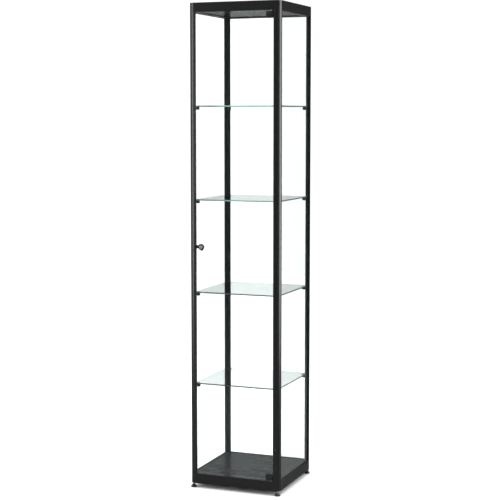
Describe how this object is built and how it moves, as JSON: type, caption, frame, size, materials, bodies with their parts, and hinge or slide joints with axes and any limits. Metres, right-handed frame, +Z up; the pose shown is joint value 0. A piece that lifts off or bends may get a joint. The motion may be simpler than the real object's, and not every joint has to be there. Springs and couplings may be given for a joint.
{
  "type": "display case",
  "caption": "Tall glass display case with a metal frame, glass shelves on corner supports, a lockable glass door on pivot hinges and levelling feet.",
  "frame": {"origin": "on the floor, under the centre of the case", "axes": "+Z up, +X to the right seen from the front, +Y from the door to the back"},
  "size_m": [0.4, 0.4, 2.02],
  "materials": {
    "post": "extruded, satin black powder coat",
    "rail": "extruded, satin black powder coat",
    "board": "chipboard with a black melamine face, semi-gloss",
    "pane": "clear tempered glass, polished edges",
    "seal": "dark grey glazing gasket",
    "shelf": "clear tempered glass, polished edges",
    "support": "moulded black nylon",
    "dark_screw": "black oxide",
    "bracket": "bright zinc plated",
    "zinc_fixing": "bright zinc plated",
    "jamb": "extruded, satin black powder coat",
    "plug": "moulded dark plastic",
    "keeper": "black powder coat",
    "bush": "turned, nickel plated",
    "clamp": "cast, black powder coat",
    "liner": "black rubber",
    "pin": "turned",
    "lock_housing": "black, semi-gloss",
    "lock_metal": "satin nickel",
    "stem": "bright zinc plated thread",
    "pad": "moulded black nylon"
  },
  "bodies": {
    "frame": {"post_front_left": "post", "post_front_right": "post", "post_back_left": "post", "post_back_right": "post", "base_rail_front": "rail", "base_rail_back": "rail", "base_rail_left": "rail", "base_rail_right": "rail", "top_rail_front": "rail", "top_rail_back": "rail", "top_rail_left": "rail", "top_rail_right": "rail", "floor_panel": "board", "top_panel": "board", "side_glass_left": "pane", "side_glass_right": "pane", "back_glass": "pane", "glazing_seal_left": "seal", "glazing_seal_right": "seal", "glazing_seal_back": "seal", "shelf_1": "shelf", "shelf_2": "shelf", "shelf_3": "shelf", "shelf_4": "shelf", "shelf_supports": "support", "support_screws": "dark_screw", "corner_brackets": "bracket", "corner_bolts": "zinc_fixing", "bracket_screws": "zinc_fixing", "door_jamb_left": "jamb", "door_jamb_right": "jamb", "post_plug": "plug", "lock_keeper": "keeper", "keeper_screw": "dark_screw", "hinge_bush_top": "bush", "hinge_bush_bottom": "bush"},
    "door": {"door_glass": "pane", "hinge_clamp_top": "clamp", "hinge_clamp_bottom": "clamp", "hinge_liners": "liner", "hinge_grub_screws": "dark_screw", "hinge_pin_top": "pin", "hinge_pin_bottom": "pin", "lock_body": "lock_housing", "lock_washers": "liner", "lock_nut": "lock_metal"},
    "lock_core": {"lock_plug": "lock_metal", "lock_cam": "keeper", "cam_screw": "zinc_fixing"},
    "pad_front_left": {"foot_pad_front_left": "pad"},
    "stem_front_left": {"foot_stem_front_left": "stem"},
    "pad_front_right": {"foot_pad_front_right": "pad"},
    "stem_front_right": {"foot_stem_front_right": "stem"},
    "pad_back_left": {"foot_pad_back_left": "pad"},
    "stem_back_left": {"foot_stem_back_left": "stem"},
    "pad_back_right": {"foot_pad_back_right": "pad"},
    "stem_back_right": {"foot_stem_back_right": "stem"}
  },
  "joints": [
    {"name": "door_swing", "type": "hinge", "parent": "frame", "child": "door", "pos_m": [0.163, -0.1925, 0], "axis": [0, 0, 1], "range_deg": [0, 100]},
    {"name": "lock_turn", "type": "hinge", "parent": "door", "child": "lock_core", "pos_m": [-0.1475, -0.1925, 1.0215], "axis": [0, 1, 0], "range_deg": [0, 90]},
    {"name": "height_front_left", "type": "slide", "parent": "frame", "child": "pad_front_left", "axis": [0, 0, 1], "range_m": [-0.01, 0.0035]},
    {"name": "turn_front_left", "type": "hinge", "parent": "pad_front_left", "child": "stem_front_left", "pos_m": [-0.188, -0.188, 0], "axis": [0, 0, 1], "range_deg": [-3610, 1270]},
    {"name": "height_front_right", "type": "slide", "parent": "frame", "child": "pad_front_right", "axis": [0, 0, 1], "range_m": [-0.01, 0.0035]},
    {"name": "turn_front_right", "type": "hinge", "parent": "pad_front_right", "child": "stem_front_right", "pos_m": [0.188, -0.188, 0], "axis": [0, 0, 1], "range_deg": [-3610, 1270]},
    {"name": "height_back_left", "type": "slide", "parent": "frame", "child": "pad_back_left", "axis": [0, 0, 1], "range_m": [-0.01, 0.0035]},
    {"name": "turn_back_left", "type": "hinge", "parent": "pad_back_left", "child": "stem_back_left", "pos_m": [-0.188, 0.188, 0], "axis": [0, 0, 1], "range_deg": [-3610, 1270]},
    {"name": "height_back_right", "type": "slide", "parent": "frame", "child": "pad_back_right", "axis": [0, 0, 1], "range_m": [-0.01, 0.0035]},
    {"name": "turn_back_right", "type": "hinge", "parent": "pad_back_right", "child": "stem_back_right", "pos_m": [0.188, 0.188, 0], "axis": [0, 0, 1], "range_deg": [-3610, 1270]}
  ],
  "couplings": [
    {"joint": "turn_front_left", "follows": "height_front_left", "rad_per_m": 6283.2},
    {"joint": "turn_front_right", "follows": "height_front_right", "rad_per_m": 6283.2},
    {"joint": "turn_back_left", "follows": "height_back_left", "rad_per_m": 6283.2},
    {"joint": "turn_back_right", "follows": "height_back_right", "rad_per_m": 6283.2}
  ]
}
